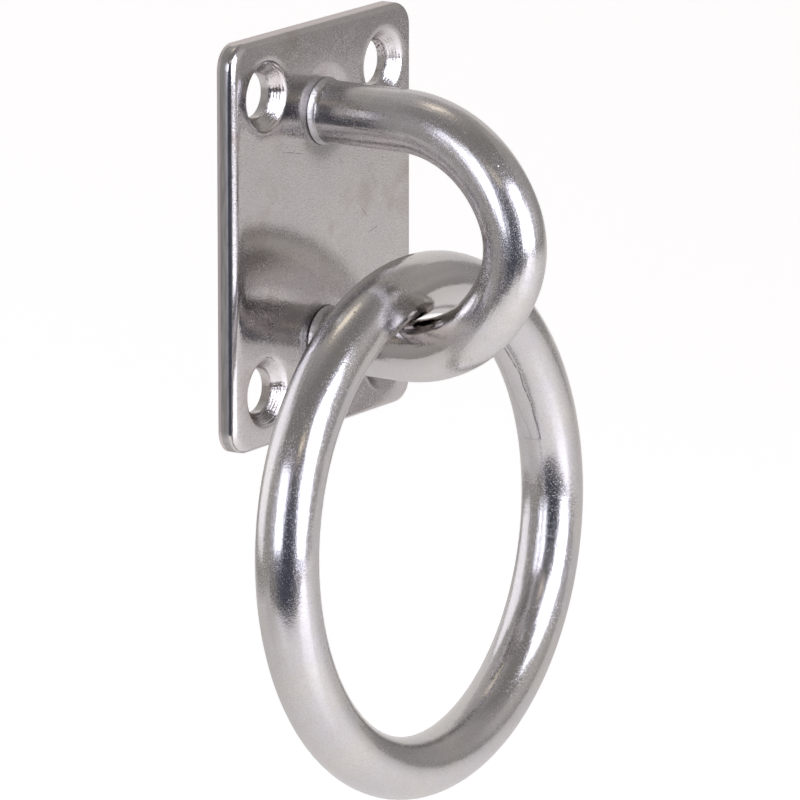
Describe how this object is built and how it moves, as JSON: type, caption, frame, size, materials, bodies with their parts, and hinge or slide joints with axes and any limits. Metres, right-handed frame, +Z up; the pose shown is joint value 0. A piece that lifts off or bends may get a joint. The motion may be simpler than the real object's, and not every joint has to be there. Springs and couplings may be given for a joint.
{
  "type": "mooring ring",
  "caption": "Round steel ring hanging in a bent bar bow on a rectangular countersunk screw plate, for tying a rope to a wall, dock or deck.",
  "frame": {"origin": "centre of the plate's back face, which lies on the wall", "axes": "+X to the right along the plate's width, +Y into the wall, +Z up along the plate's height"},
  "size_m": [0.0698, 0.0351, 0.0979],
  "materials": {
    "plate_steel": "satin polished stainless",
    "bar_steel": "polished stainless",
    "weld_steel": "ground weld"
  },
  "bodies": {
    "bracket": {"plate": "plate_steel", "bow": "bar_steel", "upper_weld": "weld_steel", "lower_weld": "weld_steel"},
    "ring": {"ring": "bar_steel"}
  },
  "joints": [
    {"name": "ring_swing", "type": "hinge", "parent": "bracket", "child": "ring", "pos_m": [0, -0.0163, -0.00601], "axis": [-1, 0, 0], "range_deg": [-13, 189]}
  ]
}
